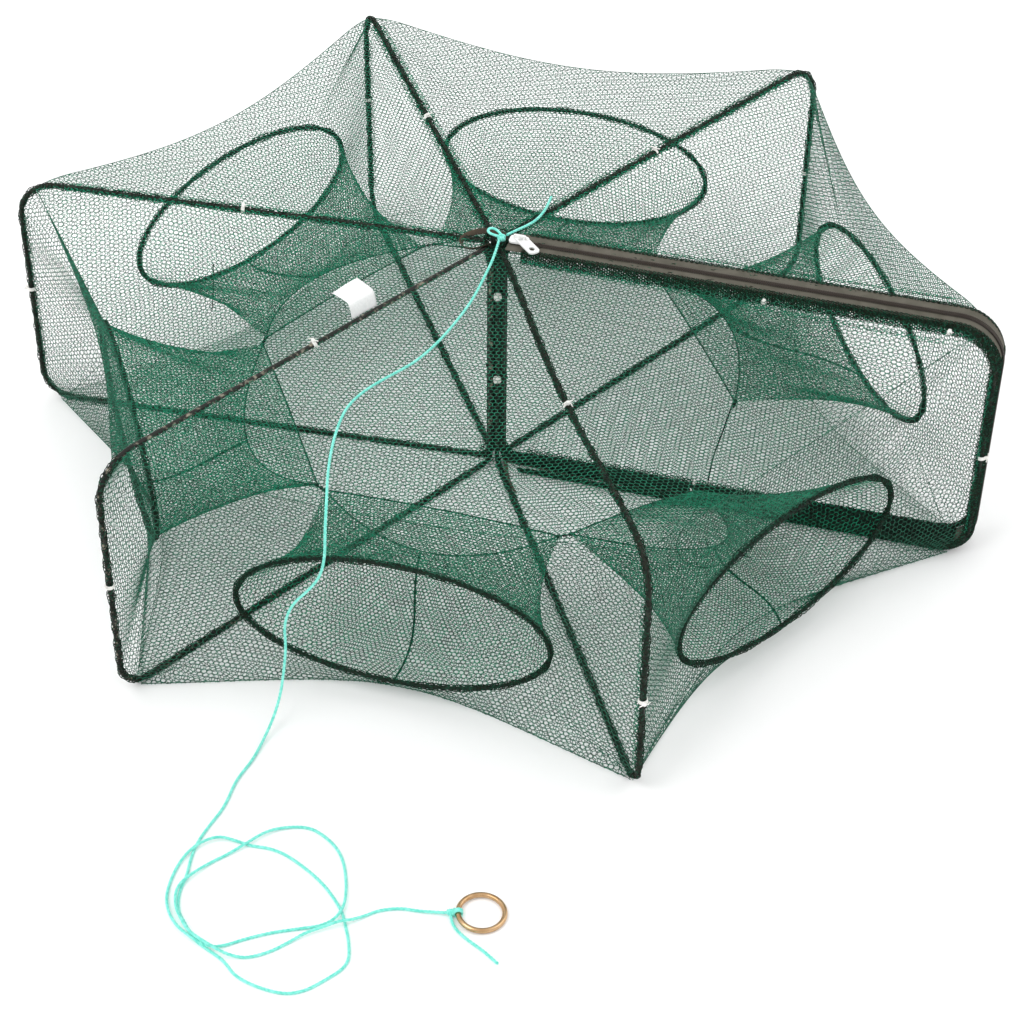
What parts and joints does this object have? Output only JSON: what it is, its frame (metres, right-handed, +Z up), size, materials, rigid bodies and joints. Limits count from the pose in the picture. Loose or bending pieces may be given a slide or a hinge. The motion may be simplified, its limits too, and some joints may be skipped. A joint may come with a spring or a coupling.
{
  "type": "folding crab trap",
  "caption": "Hexagonal folding net trap: hinged wire pages round a hub, hooped funnel entrances on every side, a zipped edge and a haul line with a ring.",
  "frame": {"origin": "middle of the trap's footprint on the floor, at the hub axis", "axes": "+X along the zip, +Z up"},
  "size_m": [0.8467, 0.9981, 0.2463],
  "materials": {
    "page_wire": "dark plastic-coated steel wire, satin",
    "hoop_wire": "dark green coated steel wire, satin",
    "tie": "white cord ties",
    "netting": "knotless polyethylene netting, dark green",
    "draw_cord": "black thread",
    "zip_tape": "woven nylon tape, taupe",
    "zip_coil": "nylon coil, dark brown",
    "slider": "white enamel",
    "label": "white satin ribbon",
    "haul_line": "twisted nylon cord, turquoise",
    "ring": "polished, bronze tinted"
  },
  "bodies": {
    "page_a": {"frame_a": "page_wire", "ties_a": "tie", "zip_tape_a": "zip_tape", "zip_coil_a": "zip_coil", "zip_stops": "zip_coil"},
    "page_b": {"frame_b": "page_wire", "ties_b": "tie", "net_covers_ab": "netting", "net_wall_ab": "netting"},
    "page_c": {"frame_c": "page_wire", "ties_c": "tie", "net_covers_bc": "netting", "net_wall_bc": "netting"},
    "page_d": {"frame_d": "page_wire", "ties_d": "tie", "net_covers_cd": "netting", "net_wall_cd": "netting"},
    "page_e": {"frame_e": "page_wire", "ties_e": "tie", "net_covers_de": "netting", "net_wall_de": "netting", "net_covers_ef": "netting", "net_wall_ef": "netting", "label_tag": "label", "hub_knot": "haul_line", "haul_line": "haul_line", "hub_tail": "haul_line", "floor_loops": "haul_line", "line_end": "haul_line", "ring_knot": "haul_line", "ring_tail": "haul_line", "haul_ring": "ring"},
    "page_f": {"frame_f": "page_wire", "ties_f": "tie", "net_covers_fg": "netting", "net_wall_fg": "netting"},
    "page_g": {"frame_g": "page_wire", "ties_g": "tie", "zip_tape_g": "zip_tape", "zip_coil_g": "zip_coil"},
    "entrance_ab": {"hoop_ab": "hoop_wire", "funnel_ab": "netting", "throat_cord_ab": "draw_cord"},
    "entrance_bc": {"hoop_bc": "hoop_wire", "funnel_bc": "netting", "throat_cord_bc": "draw_cord"},
    "entrance_cd": {"hoop_cd": "hoop_wire", "funnel_cd": "netting", "throat_cord_cd": "draw_cord"},
    "entrance_de": {"hoop_de": "hoop_wire", "funnel_de": "netting", "throat_cord_de": "draw_cord"},
    "entrance_ef": {"hoop_ef": "hoop_wire", "funnel_ef": "netting", "throat_cord_ef": "draw_cord"},
    "entrance_fg": {"hoop_fg": "hoop_wire", "funnel_fg": "netting", "throat_cord_fg": "draw_cord"},
    "zip_slider": {"zip_slider": "slider"},
    "pull_tab": {"zip_pull_tab": "slider"}
  },
  "joints": [
    {"name": "fold_a", "type": "hinge", "parent": "page_b", "child": "page_a", "pos_m": [0.0072, 0.0025, 0.116], "axis": [0, 0, 1], "range_deg": [0, 56.5], "deforming": ["net_covers_ab", "net_wall_ab", "hub_tail", "zip_tape_a"]},
    {"name": "hoop_turn_ab", "type": "hinge", "parent": "page_b", "child": "entrance_ab", "pos_m": [0.19106, 0.35042, 0.086], "axis": [0, 0, 1], "range_deg": [-59.12, 0], "deforming": ["funnel_ab", "throat_cord_ab"]},
    {"name": "fold_b", "type": "hinge", "parent": "page_c", "child": "page_b", "pos_m": [0.00278, 0.00509, 0.116], "axis": [0, 0, 1], "range_deg": [0, 58.7], "deforming": ["net_covers_bc", "net_wall_bc", "hub_tail"]},
    {"name": "hoop_turn_bc", "type": "hinge", "parent": "page_c", "child": "entrance_bc", "pos_m": [-0.20358, 0.30875, 0.109], "axis": [0, 0, 1], "range_deg": [-58.02, 0], "deforming": ["funnel_bc", "throat_cord_bc", "funnel_ab", "throat_cord_ab"]},
    {"name": "fold_c", "type": "hinge", "parent": "page_d", "child": "page_c", "pos_m": [-0.00319, 0.00484, 0.116], "axis": [0, 0, 1], "range_deg": [0, 57], "deforming": ["net_covers_cd", "net_wall_cd", "hub_tail"]},
    {"name": "hoop_turn_cd", "type": "hinge", "parent": "page_d", "child": "entrance_cd", "pos_m": [-0.36352, -0.02351, 0.126], "axis": [0, 0, 1], "range_deg": [-58.87, 0], "deforming": ["funnel_cd", "throat_cord_cd", "funnel_bc", "throat_cord_bc"]},
    {"name": "fold_d", "type": "hinge", "parent": "page_e", "child": "page_d", "pos_m": [-0.00579, -0.00037, 0.116], "axis": [0, 0, 1], "range_deg": [0, 54.4], "deforming": ["net_covers_de", "net_wall_de", "hub_tail", "label_tag"]},
    {"name": "hoop_turn_de", "type": "hinge", "parent": "page_e", "child": "entrance_de", "pos_m": [-0.17434, -0.31976, 0.105], "axis": [0, 0, 1], "range_deg": [-59.47, 0], "deforming": ["funnel_de", "throat_cord_de", "funnel_cd", "throat_cord_cd"]},
    {"name": "fold_f", "type": "hinge", "parent": "page_e", "child": "page_f", "pos_m": [0.003, -0.00497, 0.116], "axis": [0, 0, 1], "range_deg": [-56.4, 0], "deforming": ["net_covers_ef", "net_wall_ef", "haul_line"]},
    {"name": "hoop_turn_ef", "type": "hinge", "parent": "page_e", "child": "entrance_ef", "pos_m": [-0.17385, -0.31887, 0.08], "axis": [0, 0, 1], "range_deg": [0, 58.47], "deforming": ["funnel_ef", "throat_cord_ef", "funnel_fg", "throat_cord_fg"]},
    {"name": "fold_g", "type": "hinge", "parent": "page_f", "child": "page_g", "pos_m": [0.0072, -0.0025, 0.116], "axis": [0, 0, 1], "range_deg": [-54, 0], "deforming": ["net_covers_fg", "net_wall_fg", "haul_line", "zip_tape_g"]},
    {"name": "hoop_turn_fg", "type": "hinge", "parent": "page_f", "child": "entrance_fg", "pos_m": [0.19777, -0.32785, 0.084], "axis": [0, 0, 1], "range_deg": [0, 60.37], "deforming": ["funnel_fg", "throat_cord_fg"]},
    {"name": "zip_run", "type": "slide", "parent": "page_a", "child": "zip_slider", "axis": [1, 0, 0], "range_m": [0, 0.35]},
    {"name": "tab_flip", "type": "hinge", "parent": "zip_slider", "child": "pull_tab", "pos_m": [0.0207, 0, 0.2379], "axis": [-0.7071, -0.7071, 0], "range_deg": [0, 110]}
  ],
  "couplings": [
    {"joint": "hoop_turn_ab", "follows": "fold_a", "ratio": -1.046},
    {"joint": "hoop_turn_bc", "follows": "fold_b", "ratio": -0.9881},
    {"joint": "hoop_turn_cd", "follows": "fold_c", "ratio": -1.0325},
    {"joint": "hoop_turn_de", "follows": "fold_d", "ratio": -1.0928},
    {"joint": "hoop_turn_ef", "follows": "fold_f", "ratio": -1.0363},
    {"joint": "hoop_turn_fg", "follows": "fold_g", "ratio": -1.1176}
  ]
}
